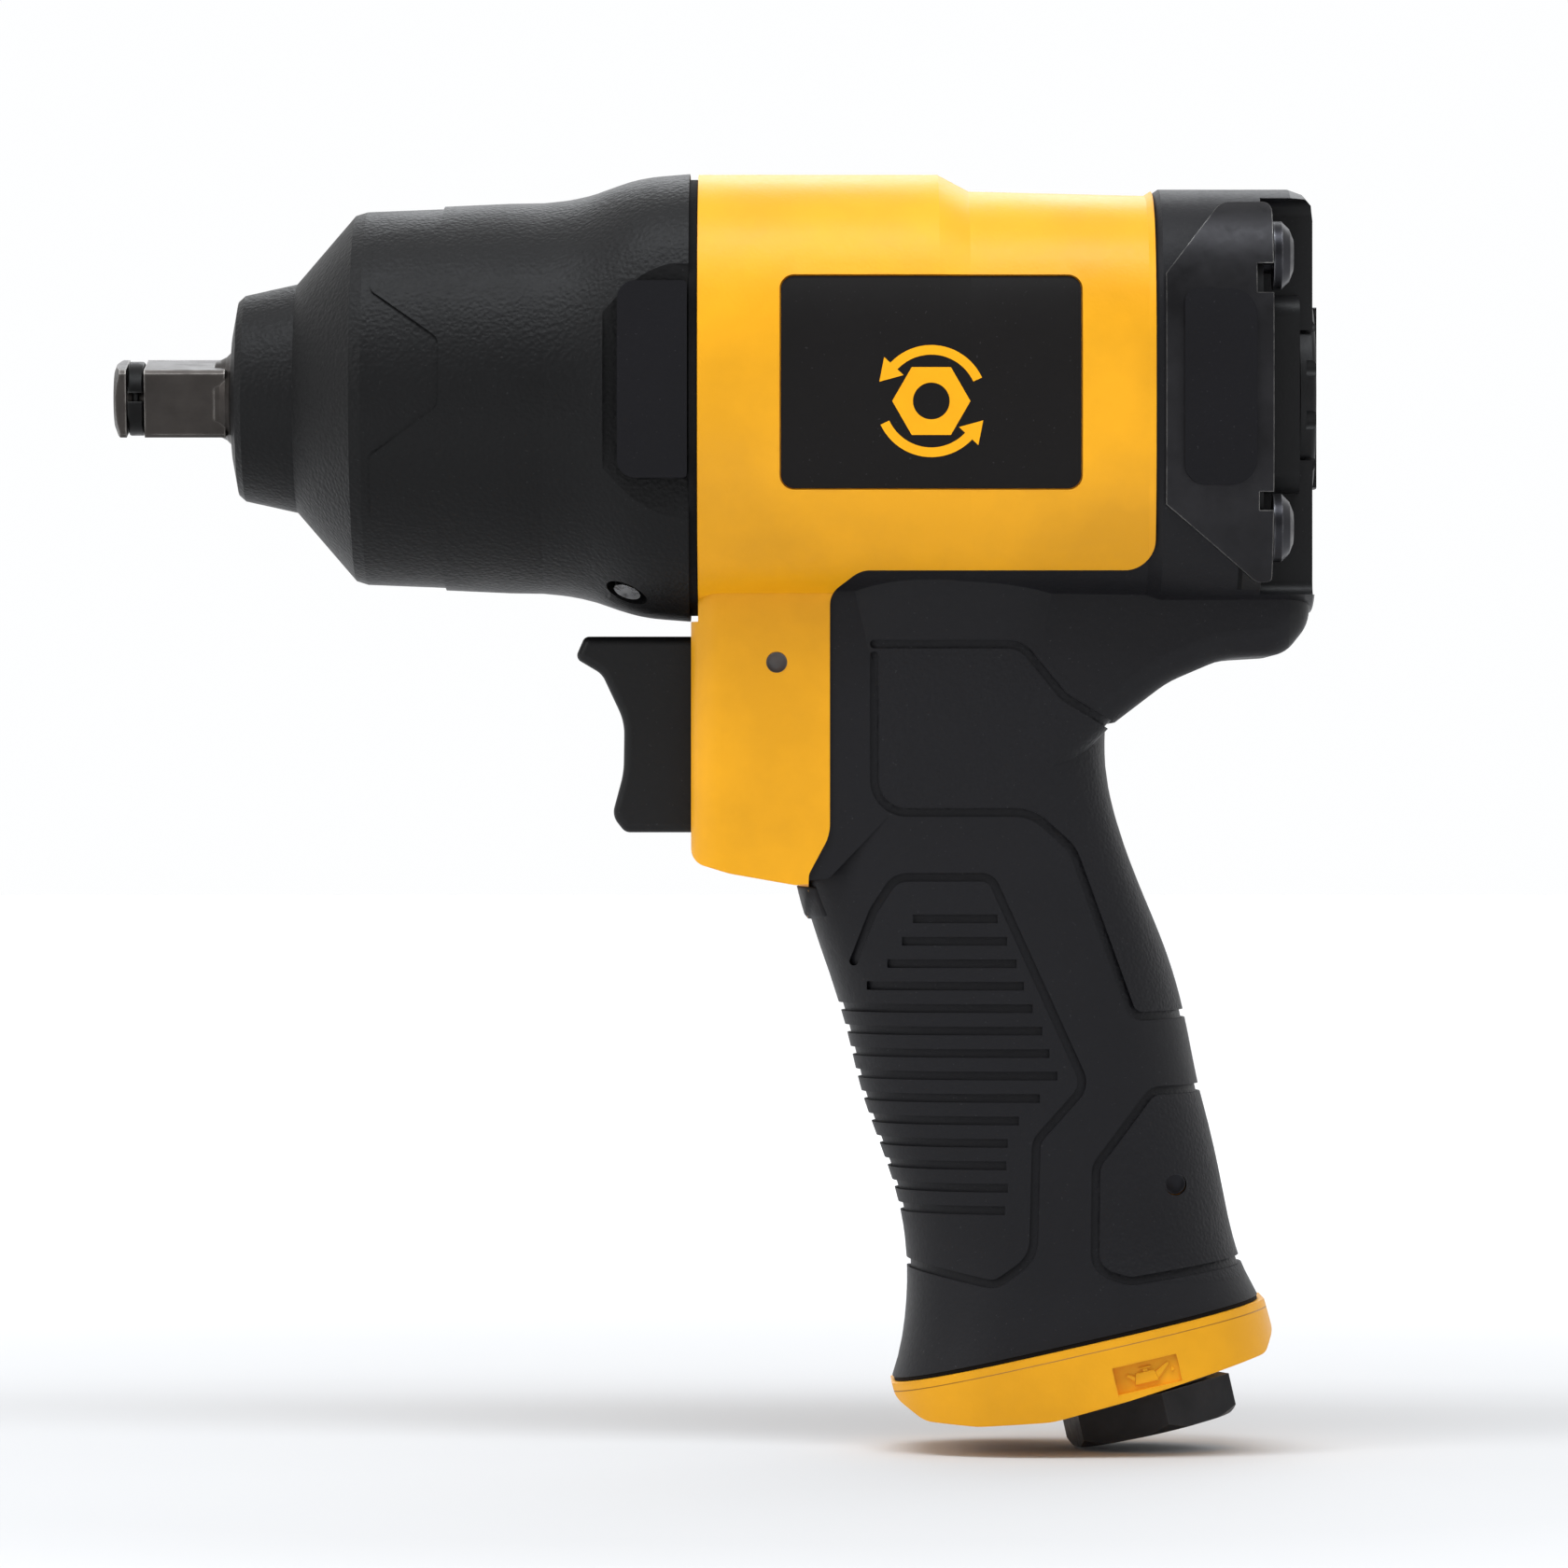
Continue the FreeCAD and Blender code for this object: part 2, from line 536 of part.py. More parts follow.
# ---------------------------------------------------------------- housing, grip skin and rear end
YELLOW_OUTLINE = [(60, 60), (YELLOW_END_X - 0.4, 60), (YELLOW_END_X - 0.4, -24.4, 4), (89.5, -24.4, 4),
                  (85.3, -27.5, 3), (85.3, -60.6, 6), (82.4, -66.0, 2), (82.2, -80), (60, -80)]
PANEL_A = [(91.4, -34.4, 3.3), (111.5, -34.4, 4), (117.4, -41.6, 4), (124.4, -45.8)]
PANEL_A_FOOT = [(91.4, -36), (91.4, -57.5, 4.5), (113.0, -57.5, 6), (118.6, -62.5, 6), (127.0, -85.6, 2),
                (136.0, -85.3)]
PANEL_B = [(88.6, -78.0), (91.3, -71.0, 4), (94.3, -66.4, 3), (107.4, -66.4, 2), (120.4, -95.0, 3), (113.6, -102.6, 3), (113.2, -118.6, 5),
           (108.0, -122.4, 3), (92.0, -119.0)]
PANEL_C = [(140.5, -95.5), (129.6, -95.8, 2.5), (121.8, -106.0, 3), (121.6, -120.4, 4), (126.5, -121.8, 3),
           (144.5, -119.0)]
GROOVE_W, GROOVE_D = 1.2, 0.55
RIB_TOP, RIB_PITCH, RIBS = -72.1, 3.08, 14
RIB_FRONT = [96.7, 95.2, 93.2, 90.4] + [80.0] * (RIBS - 4)
RIB_BACK = [108.3, 109.6, 110.9, 111.9, 113.1, 114.4, 115.4, 116.5, 114.1, 111.2, 109.7, 109.5, 109.7, 109.3]
LABEL_DEPTH = 0.8
LABEL_OUT = [(78.4, 15.7, 2), (119.6, 15.7, 2), (119.6, -13.6, 2), (78.4, -13.6, 2)]
AIR_T = INLET_T
SEAT_S = 61.4
ROD_END_GAP = 0.25
TONGUE_BACK = 83.0
STEM_R, STEM_TOP = 1.5, 26.0
VALVE_R = 5.0


def grooves():
    """Tool for the shallow grooves in the grip skin, on both sides."""
    tools = [band(line, GROOVE_W) for line in (PANEL_A, PANEL_A_FOOT, PANEL_B, PANEL_C)]
    for i in range(RIBS):
        z = RIB_TOP - RIB_PITCH * i
        tools.append(box(RIB_FRONT[i], RIB_BACK[i], -30, 30, z - GROOVE_W / 2, z + GROOVE_W / 2))
    return tools


def wells():
    """Everything hollow inside the handle and barrel, shared by the housing and the skin."""
    tools = [cyl(MOTOR_R, 60.0, REAR_PLATE_X + 8.2)]
    tools.append(cyl(12.4, REAR_PLATE_X + 8.0, 142.0))                                # regulator chest
    tools.append(grip_cyl(THREAD_R + 2.6, AIR_T, -3.0, 18.0))                         # inlet bushing seat
    tools.append(grip_cyl(6.6, AIR_T, 17.0, SEAT_S - 4.0))                            # inlet passage
    tools.append(grip_cyl(7.4, AIR_T, SEAT_S - 12.0, SEAT_S))                         # valve chamber
    tools.append(grip_cyl(8.6, AIR_T, SEAT_S - 0.5, SEAT_S + STEM_TOP + 2.5))         # stem chamber
    low, high = grip_point(AIR_T, SEAT_S + STEM_TOP), V(131.0, 0, -8.0)
    tools.append(Part.makeCylinder(4.5, (high - low).Length, low, high - low))        # air to the motor
    for y in (-9.0, 9.0):
        tools.append(grip_cyl(4.2, -11.5, -1.0, 108.0, y))                            # exhaust, two ways
    exhaust = grip_placed(box(-18.5, -5.5, -11.5, 11.5, -1.0, 10.0))
    tools.append(exhaust)                                                             # muffler
    pocket_back = TRIGGER_BACK + TRIGGER_TRAVEL + 3 * LOOSE
    half = TRIGGER_W + LOOSE
    tools.append(box(60.0, pocket_back, -half, half, TRIGGER_FOOT - LOOSE, TRIGGER_TOP + LOOSE))
    tools.append(box(70.0, TONGUE_BACK + TRIGGER_TRAVEL + 0.8, -4.0 - LOOSE, 4.0 + LOOSE, -40.2, -34.0))
    tools.append(cyl(4.6, pocket_back - 0.4, 98.0, 0, ROD_Z))                         # rod bushing and spring
    tools.append(cyl(ROD_R + LOOSE, 97.0, 108.0, 0, ROD_Z))
    tools.append(cyl_y(1.45 + 0.02, 78.0, -36.9, 12.0))
    tools.append(cyl_y(1.45, 78.0, -36.9, FAR))                                       # trigger pin hole
    tools.append(cyl_y(1.5, 132.9, -108.7, FAR))                                      # roll pin hole
    for sy in (-1, 1):
        for sz in (-1, 1):
            tools.append(cyl(BOLT_R + FIT, 60.0, 160.0, sy * BOLT_Y, sz * BOLT_Z))
    return tools


def pockets():
    """Openings either side of the rear spine, where the bolt heads sit."""
    cut = box(144.2, 170, TOWER_W, 60, POCKET_FOOT, POCKET_TOP)
    edges = [e for e in cut.Edges if e.BoundBox.XLength > 5 and e.BoundBox.YMax < 30]
    cut = cut.makeFillet(2.0, edges)
    return cut.fuse(mirror_y(cut))


def make_body():
    hollow = wells()
    hollow = hollow[0].fuse(hollow[1:])
    outer = body(0.0)
    skin = body(OVER_INSET)
    core = body(OVER_INSET + OVER_T)
    yellow = side_prism(YELLOW_OUTLINE)
    front = outer.common(yellow)
    label_seat = side_prism(LABEL_OUT).cut(body(LABEL_DEPTH))
    top_seat = box(STEP_X + STEP_RUN, 128.6, -9.0, 9.0, REAR_TOP - 1.2, 40)
    ahead = box(0, 141.0, -60, 60, -200, 60)
    back = box(141.0, 200, -60, 60, -27.0, 26.0).fuse(box(148.4, 200, -60, 60, -60, 60))
    gasket_room = box(60, FLANGE_X + GASKET_T + FIT, -60, 60, -FLANGE_H - LOOSE, 60)
    housing = front.fuse(core.common(ahead)).cut(hollow.fuse([label_seat, top_seat, gasket_room]))
    keep("motor_housing", housing)
    black = skin.cut(back.fuse([yellow, core.common(ahead)]))
    shallow = body(OVER_INSET + GROOVE_D)
    cutters = grooves()
    cutters = cutters[0].fuse(cutters[1:]).cut(shallow)
    icon = grip_placed(box(3.6, 12.6, -40, 40, -8.2, -4.4))
    black = black.cut(cutters).cut(hollow.fuse(pockets()))
    keep("grip_overmould", black)
    make_rear(skin, back)
    return skin, icon


def make_rear(skin, back):
    cover = skin.common(back).cut(pockets())
    gasket_zone = box(141.0, 141.6, -60, 60, -27.0, 26.0)
    gasket = cover.common(gasket_zone)
    cover = cover.cut(gasket_zone)
    turret = box(144.0, 149.9, -TURRET_W, TURRET_W, -TURRET_H, TURRET_H)
    turret = turret.makeFillet(3.0, [e for e in turret.Edges if e.BoundBox.XLength > 5])
    seat = cyl(KNOB_R + 0.6, 149.9, 160.0)
    stem_bore = cyl(5.0 + RUN, 140.0, 150.0)
    bolts = [cyl(BOLT_R + FIT, 140.0, 160.0, sy * BOLT_Y, sz * BOLT_Z) for sy in (-1, 1) for sz in (-1, 1)]
    cover = cover.cut(seat).fuse(turret).cut(stem_bore.fuse(bolts))
    keep("rear_cover", cover.cut(Part.makeSphere(1.3, V(149.9, 0, 11.0))))
    keep("rear_gasket", gasket.cut(cyl(12.6, 140, 142).fuse(bolts)))
    knob = cyl(KNOB_R, 150.1, 152.3)
    knob = knob.makeFillet(0.7, [e for e in outer_edges(knob, KNOB_R) if e.BoundBox.XMin > 152])
    bar = box(152.0, 152.9, -3.0, 3.0, -12.6, 12.6).common(cyl(12.8, 151, 154))
    knob = knob.fuse(bar)
    scallops = []
    for i in range(12):
        a = math.radians(30 * i + 15)
        scallops.append(cyl(1.6, 150.9, 160, (KNOB_R + 0.9) * math.cos(a), (KNOB_R + 0.9) * math.sin(a)))
    dents = [Part.makeSphere(1.3, V(150.1, 11.0 * math.sin(math.radians(a)), 11.0 * math.cos(math.radians(a))))
             for a in (-60, 0, 60)]
    square_hole = box(149, 151.6, -3.0, 3.0, -3.0, 3.0)
    knob = knob.cut(scallops[0].fuse(scallops[1:] + dents + [square_hole, cyl(1.6, 149, 160), cyl(3.0, 152.1, 160)]))
    keep("regulator_knob", knob)
    valve = cyl(5.0, 135.0, 149.9)
    valve = valve.fuse([cyl(12.2, REAR_PLATE_X + 9.0, 135.5), box(149.8, 151.5, -2.9, 2.9, -2.9, 2.9)])
    port = cyl(2.4, 100, 130.0, 9.5, 9.5).fuse(box(127.0, 132.0, -5.0, 5.0, -20.0, -7.0))
    valve = valve.cut(port.fuse([cyl(1.2, 142, 160), cyl(5.6, 110, REAR_PLATE_X + 12.0)]))
    keep("regulator_valve", valve)
    screw = cyl(1.15, 144.0, 152.2).fuse(cyl(2.9, 152.15, 152.85))
    keep("knob_screw", screw.cut(box(152.5, 153, -0.4, 0.4, -3, 3)))
    # four long bolts through the housing
    head = spin([(145.75, HEAD_R), (146.9, HEAD_R), (148.0, 3.6), (145.75 + HEAD_H, 2.2)])
    bolt = cyl(BOLT_R, BOLT_X, 145.8).fuse(head)
    bolt = bolt.cut(hex_bar(3.0, 146.6, 150.0))
    bolts = [bolt.translated(V(0, sy * BOLT_Y, sz * BOLT_Z)) for sy in (-1, 1) for sz in (-1, 1)]
    keep("housing_bolts", Part.makeCompound(bolts))


def hex_bar(across_flats, x0, x1):
    r = across_flats / math.sqrt(3)
    pts = [V(x0, r * math.cos(math.radians(60 * i)), r * math.sin(math.radians(60 * i))) for i in range(7)]
    return Part.Face(Part.makePolygon(pts)).extrude(V(x1 - x0, 0, 0))


GUARD_OUTLINE = [(130.9, 15.8), (138.6, 25.9, 2.5), (145.5, 25.9, 1.2), (145.5, -26.1, 2), (143.4, -26.1, 2),
                 (130.9, -15.6)]


def make_guards():
    outline = side_prism(GUARD_OUTLINE)
    under, over = body(OVER_INSET - 0.05), body(OVER_INSET - GUARD_T)
    shell = over.common(outline).cut(under)
    shell = shell.common(box(120, 160, 14.0, 60, -60, 60))
    tab = over.common(side_prism([(144.25, 25.2, 0.5), (145.55, 25.2, 0.5),
                                  (145.55, -26.0, 0.5), (144.25, -26.0, 0.5)]))
    tab = tab.common(box(120, 160, 16.2, 60, -60, 60))
    guard = shell.fuse(tab)
    notches = [box(143.3, 150, 10, 60, 13.2, 17.2), box(143.6, 150, 10, 60, -16.4, -13.9),
               box(144.2, 150, 10, 26.5, -13.9, 13.2)]
    bolts = [cyl(BOLT_R + LOOSE, 130, 160, BOLT_Y, s * BOLT_Z) for s in (-1, 1)]
    guard = guard.cut(notches[0].fuse(notches[1:] + bolts))
    keep("side_guard_right", guard)
    keep("side_guard_left", mirror_y(guard))
    pad = side_prism([(133.4, 12.6, 2.0), (134.4, 13.6, 1.0), (143.2, 13.6, 3.5),
                      (143.2, -13.0, 3.5), (133.4, -13.0, 2.8)])
    pad = pad.common(body(OVER_INSET - GUARD_T - 1.2)).cut(body(OVER_INSET - GUARD_T - 0.02))
    pad = pad.common(box(120, 160, 15, 60, -60, 60))
    keep("rear_pad_right", pad)
    keep("rear_pad_left", mirror_y(pad))


def make_labels():
    plate = side_prism([(78.6, 15.5, 1.8), (119.4, 15.5, 1.8), (119.4, -13.4, 1.8), (78.6, -13.4, 1.8)])
    plate = plate.common(body(0.3)).cut(body(LABEL_DEPTH)).common(box(60, 150, 15, 60, -60, 60))
    keep("side_label_right", plate)
    keep("side_label_left", mirror_y(plate))
    x0, x1 = STEP_X + STEP_RUN + 0.2, 128.4
    keep("top_label", body(0.3).common(box(x0, x1, -8.8, 8.8, REAR_TOP - 1.2, 40)))


# ---------------------------------------------------------------- trigger and throttle
TRIGGER_OUTLINE = [(TRIGGER_BACK, TRIGGER_TOP), (51.4, TRIGGER_TOP, 1.0), (50.1, -36.2, 1.0), (53.8, -38.4, 3),
                   (56.9, -45.0, 8), (56.8, -52.0, 12), (55.2, -58.0, 2.5), (57.0, TRIGGER_FOOT, 1.5),
                   (TRIGGER_BACK, TRIGGER_FOOT)]


def make_trigger():
    solid = side_prism(TRIGGER_OUTLINE, TRIGGER_W)
    rims = [e for e in solid.Edges if e.BoundBox.YLength < 1e-6 and e.BoundBox.XMax < 57.5]
    solid = solid.makeFillet(1.2, rims)
    tongue = box(70.0, TONGUE_BACK, -4.0, 4.0, -39.9, -34.3)
    slot = side_prism([(78.0 - TRIGGER_TRAVEL - 1.8, -38.75, 1.8), (79.8, -38.75, 1.8), (79.8, -35.05, 1.8),
                       (78.0 - TRIGGER_TRAVEL - 1.8, -35.05, 1.8)], 10)
    solid = solid.fuse(tongue).cut(slot.fuse(cyl(ROD_R, 66.0, 80.0, 0, ROD_Z)))
    keep("trigger", solid)
    a = math.radians(GRIP_TILT)
    s = (ROD_Z - GRIP_FOOT[1] - (AIR_T - STEM_R) * math.sin(a)) / math.cos(a)
    stem_x = grip_point(AIR_T - STEM_R, s).x
    ball_x = stem_x - (ROD_R + ROD_END_GAP) / math.cos(a)
    rod = cyl(ROD_R - 0.02, 66.1, ball_x, 0, ROD_Z).fuse(Part.makeSphere(ROD_R - 0.02, V(ball_x, 0, ROD_Z)))
    keep("trigger_rod", rod)
    keep("rod_bushing", tube(4.55, ROD_R + RUN, 88.0, 96.0, 0, ROD_Z))
    o_ring = Part.makeTorus(ROD_R + 0.95, 0.85, V(96.9, 0, ROD_Z), X_AXIS)
    keep("rod_o_ring", o_ring)
    keep("trigger_spring", coil(3.4, 0.45, TRIGGER_BACK + 0.5, 87.6))
    keep("trigger_pin", cyl_y(1.45, 78.0, -36.9, 11.9))
    seat = grip_cyl(8.5, AIR_T, SEAT_S, SEAT_S + 3.0).cut(grip_cyl(3.6, AIR_T, SEAT_S - 1, SEAT_S + 4))
    lead = grip_placed(cone(AIR_T, SEAT_S + 0.8, SEAT_S + 3.01, 3.6, 6.8))
    keep("valve_seat", seat.cut(lead))
    # tip valve: disc under the seat with a long stem up to the rod
    disc = grip_cyl(VALVE_R, AIR_T, SEAT_S - 2.1, SEAT_S - 0.05)
    stem = grip_cyl(STEM_R, AIR_T, SEAT_S - 1.0, SEAT_S + STEM_TOP)
    keep("throttle_valve", disc.fuse([stem, grip_cyl(2.0, AIR_T, SEAT_S - 3.4, SEAT_S - 2.0)]))
    spring = coil_z(3.4, 0.45, 12.0)
    spring.translate(V(AIR_T, 0, SEAT_S - 2.7 - 12.0))
    keep("throttle_spring", grip_placed(spring))


def cone(t, s0, s1, r0, r1):
    return Part.makeCone(r0, r1, s1 - s0, V(t, 0, s0), Z_AXIS)


def coil_z(radius, wire, height, pitch=2.4):
    """Round-wire spring standing on the origin."""
    line = Part.makeHelix(pitch, height - 2 * wire, radius)
    line.translate(V(0, 0, wire))
    profile = Part.Wire([Part.makeCircle(wire, V(radius, 0, wire), V(0, 1, 0))])
    return Part.Wire(line.Edges).makePipeShell([profile], True, True)


def coil(radius, wire, x0, x1):
    """Spring around the trigger rod."""
    spring = coil_z(radius, wire, x1 - x0)
    spring.rotate(V(0, 0, 0), Y_AXIS, 90)
    spring.translate(V(x0, 0, ROD_Z))
    return spring


# ---------------------------------------------------------------- foot of the handle
def make_foot(icon):
    a = [(-26.3, 0.02), (26.5, 0.02), (26.8, -5.0, 2), (24.9, -7.6, 1.5), (4.5, -9.3, 20), (-6, -9.8, 12),
         (-16.0, -8.3, 12), (-23.0, -6.2, 4), (-26.2, -2.6, 3)]
    outline = side_prism([(c[0], -abs(c[1])) + tuple(c[2:]) for c in a])
    plan = rounded_square(V(0.1, 0, -12), X_AXIS, Y_AXIS, FOOT_HALF + 0.5, FOOT_W + 0.5, 2.8)
    plan = Part.Face(plan).extrude(V(0, 0, 14))
    cap = outline.common(plan).cut(box(-60, 60, -40, 40, -0.6, 5))
    cap = grip_placed(cap)
    ways = [grip_cyl(THREAD_R + 3.4, AIR_T, -20.0, 5.0)]
    for i in range(4):
        ways.append(grip_placed(box(-17.6 + 3.2 * i, -15.6 + 3.2 * i, -10.5, 10.5, -30, 5)))
    cap = cap.cut(ways[0].fuse(ways[1:])).cut(icon.cut(grip_placed(box(0, 30, -FOOT_W + 0.9, FOOT_W - 0.9, -20, 5))))
    keep("base_cap", cap)
    gasket = rounded_square(V(0, 0, -0.58), X_AXIS, Y_AXIS, FOOT_HALF - 0.6, FOOT_W - 0.6, 2.8)
    gasket = grip_placed(Part.Face(gasket).extrude(V(0, 0, 0.56)))
    keep("base_gasket", gasket.cut(ways[0].fuse(grip_placed(box(-18.5, -5.5, -11.5, 11.5, -2, 2)))))
    keep("muffler", grip_placed(box(-18.3, -5.7, -11.3, 11.3, -0.5, 7.5)))
    # inlet bushing: threaded barrel with a hexagon at the foot
    hexagon = hex_prism(HEX_AF, INLET_FOOT, -9.8)
    bevel = Part.makeCone(HEX_AF / 2 + 0.2, HEX_AF / 2 + 2.4, 1.6, V(0, 0, INLET_FOOT), Z_AXIS)
    bevel = bevel.fuse(Part.makeCylinder(HEX_AF / 2 + 2.4, 8.0, V(0, 0, INLET_FOOT + 1.6)))
    bushing = hexagon.common(bevel).fuse([Part.makeCylinder(THREAD_R + 3.2, 9.8, V(0, 0, -9.9)),
                                          Part.makeCylinder(THREAD_R + 2.5, 17.9, V(0, 0, -1.0))])
    bushing = bushing.cut(Part.makeCylinder(THREAD_R, THREAD_LEN, V(0, 0, INLET_FOOT)))
    bushing = bushing.cut(Part.makeCylinder(4.4, 40, V(0, 0, INLET_FOOT)))
    mouth = Part.makeCone(THREAD_R + 0.8, THREAD_R, 0.8, V(0, 0, INLET_FOOT), Z_AXIS)
    bushing = bushing.cut(mouth).cut(Part.makeCylinder(6.2, 2.6, V(0, 0, 14.6)))
    bushing = bushing.cut(groove_z(THREAD_R + 2.6, 1.4, 6.0, 8.2))
    bushing.translate(V(AIR_T, 0, 0))
    keep("inlet_bushing", grip_placed(bushing))
    keep("inlet_o_ring", grip_placed(Part.makeTorus(THREAD_R + 1.68, 0.8, V(AIR_T, 0, 7.1), Z_AXIS)))
    mesh = Part.makeCylinder(6.0, 1.2, V(AIR_T, 0, 15.2))
    holes = [Part.makeCylinder(0.5, 3, V(AIR_T + 1.6 * i, 1.6 * j, 14.5)) for i in range(-3, 4)
             for j in range(-3, 4) if i * i + j * j < 10]
    keep("inlet_screen", grip_placed(mesh.cut(holes[0].fuse(holes[1:]))))
    keep("handle_pin", both_sides(Part.makeCylinder(1.45, 5.0, V(132.9, 5.5, -108.7), Y_AXIS)))


def hex_prism(across_flats, z0, z1):
    r = across_flats / math.sqrt(3)
    pts = [V(r * math.cos(math.radians(60 * i + 39)), r * math.sin(math.radians(60 * i + 39)), z0) for i in range(7)]
    return Part.Face(Part.makePolygon(pts)).extrude(V(0, 0, z1 - z0))


def groove_z(outer, depth, z0, z1):
    ring_cut = Part.makeCylinder(outer + 1, z1 - z0, V(0, 0, z0))
    return ring_cut.cut(Part.makeCylinder(outer - depth, z1 - z0 + 2, V(0, 0, z0 - 1)))


keep("hammer_case", make_case())
make_nose()
make_drive()
make_motor()
skin_solid, icon_cut = make_body()
make_guards()
make_labels()
make_trigger()
make_foot(icon_cut)

for name, piece in PIECES.items():
    piece.exportStep("parts/" + name + ".step")
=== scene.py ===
import json
import math
import bpy
import bmesh
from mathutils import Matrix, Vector
from mathutils.bvhtree import BVHTree


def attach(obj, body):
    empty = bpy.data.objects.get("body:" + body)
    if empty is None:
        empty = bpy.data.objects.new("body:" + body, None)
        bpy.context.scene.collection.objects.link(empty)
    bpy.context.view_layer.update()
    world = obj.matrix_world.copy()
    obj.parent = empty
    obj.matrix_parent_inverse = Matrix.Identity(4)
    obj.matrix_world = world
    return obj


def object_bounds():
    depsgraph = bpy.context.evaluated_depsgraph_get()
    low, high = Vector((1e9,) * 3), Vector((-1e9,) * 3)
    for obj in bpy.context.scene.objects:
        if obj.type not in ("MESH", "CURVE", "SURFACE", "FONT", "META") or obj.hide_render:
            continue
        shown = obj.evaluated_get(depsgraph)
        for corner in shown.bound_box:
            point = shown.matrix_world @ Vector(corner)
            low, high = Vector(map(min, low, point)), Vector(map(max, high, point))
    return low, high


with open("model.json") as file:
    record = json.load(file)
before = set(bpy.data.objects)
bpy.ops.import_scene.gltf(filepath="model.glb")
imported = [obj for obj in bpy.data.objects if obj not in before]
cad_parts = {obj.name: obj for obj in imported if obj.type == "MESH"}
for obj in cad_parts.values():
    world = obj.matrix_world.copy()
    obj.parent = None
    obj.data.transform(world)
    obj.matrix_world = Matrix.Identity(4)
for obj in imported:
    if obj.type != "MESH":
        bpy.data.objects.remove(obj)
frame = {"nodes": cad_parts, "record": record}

MM = 0.001
GRIP_TILT = 12.8                         # degrees that the handle leans back
FOOT = (119.4, -130.05)                  # x, z of the middle of the handle's lower end
TURN_MARK_AT = (99.0, -1.6)              # x, z of the mark on each side label
OIL_MARK_AT = (8.1, -6.3)                # back and up from the foot, in the handle's frame
CAP_LIP = ((94.0, -137.6), (146.0, -125.78))     # line round the base cap, x and z of its ends
nodes = frame["nodes"]


def plain(box):
    return [[float(v) for v in corner] for corner in box]


cad_box = plain(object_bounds())


# ---------------------------------------------------------------- shader helpers
def add(tree, kind, **values):
    """New shader node; each value is a setting of the node or the name of one of its inputs."""
    node = tree.nodes.new(kind)
    for key, value in values.items():
        if hasattr(node, key):
            setattr(node, key, value)
        else:
            node.inputs[key.replace("_", " ")].default_value = value
    return node


def plug(tree, socket, value):
    if isinstance(value, (int, float)):
        socket.default_value = value
    elif isinstance(value, tuple):
        socket.default_value = (*value, 1) if len(socket.default_value) == 4 else value
    else:
        tree.links.new(value, socket)


def coords(tree):
    return add(tree, "ShaderNodeTexCoord").outputs["Object"]


def noise(tree, scale, detail=4.0, rough=0.55, stretch=None):
    n = add(tree, "ShaderNodeTexNoise", Scale=scale, Detail=detail, Roughness=rough)
    place = coords(tree)
    if stretch:
        longer = add(tree, "ShaderNodeVectorMath", operation="MULTIPLY")
        plug(tree, longer.inputs[0], place)
        longer.inputs[1].default_value = stretch
        place = longer.outputs[0]
    plug(tree, n.inputs["Vector"], place)
    return n.outputs["Fac"]


def ramp(tree, value, low, high, out_low=0.0, out_high=1.0):
    n = add(tree, "ShaderNodeMapRange", From_Min=low, From_Max=high, To_Min=out_low, To_Max=out_high)
    plug(tree, n.inputs["Value"], value)
    return n.outputs["Result"]


def calc(tree, how, a, b=0.0):
    n = add(tree, "ShaderNodeMath", operation=how)
    plug(tree, n.inputs[0], a)
    plug(tree, n.inputs[1], b)
    return n.outputs[0]


def mix(tree, factor, a, b):
    n = add(tree, "ShaderNodeMix", data_type="RGBA")
    plug(tree, n.inputs["Factor"], factor)
    plug(tree, n.inputs[6], a)
    plug(tree, n.inputs[7], b)
    return n.outputs[2]


def edges(tree, width, low, high):
    """0 on smooth faces, 1 where the surface turns sharply within the given width."""
    bevel = add(tree, "ShaderNodeBevel", samples=4, Radius=width)
    normal = add(tree, "ShaderNodeNewGeometry").outputs["Normal"]
    dot = add(tree, "ShaderNodeVectorMath", operation="DOT_PRODUCT")
    plug(tree, dot.inputs[0], bevel.outputs["Normal"])
    plug(tree, dot.inputs[1], normal)
    return ramp(tree, dot.outputs["Value"], high, low)


def grain(tree, size):
    """Moulded leather grain: uneven pebbles of the given size in metres."""
    warp = add(tree, "ShaderNodeTexNoise", Scale=0.6 / size, Detail=2.0)
    place = coords(tree)
    plug(tree, warp.inputs["Vector"], place)
    shift = add(tree, "ShaderNodeVectorMath", operation="MULTIPLY_ADD")
    plug(tree, shift.inputs[0], warp.outputs["Color"])
    shift.inputs[1].default_value = (size * 0.9,) * 3
    plug(tree, shift.inputs[2], place)
    cells = add(tree, "ShaderNodeTexVoronoi", feature="SMOOTH_F1", Scale=1.0 / size, Smoothness=0.6)
    plug(tree, cells.inputs["Vector"], shift.outputs[0])
    fine = calc(tree, "MULTIPLY", noise(tree, 3.2 / size, 3.0), 0.35)
    return calc(tree, "ADD", cells.outputs["Distance"], fine)


def bump(tree, height, distance, under=None):
    n = add(tree, "ShaderNodeBump", Strength=1.0, Distance=distance)
    plug(tree, n.inputs["Height"], height)
    if under is not None:
        plug(tree, n.inputs["Normal"], under)
    return n.outputs["Normal"]


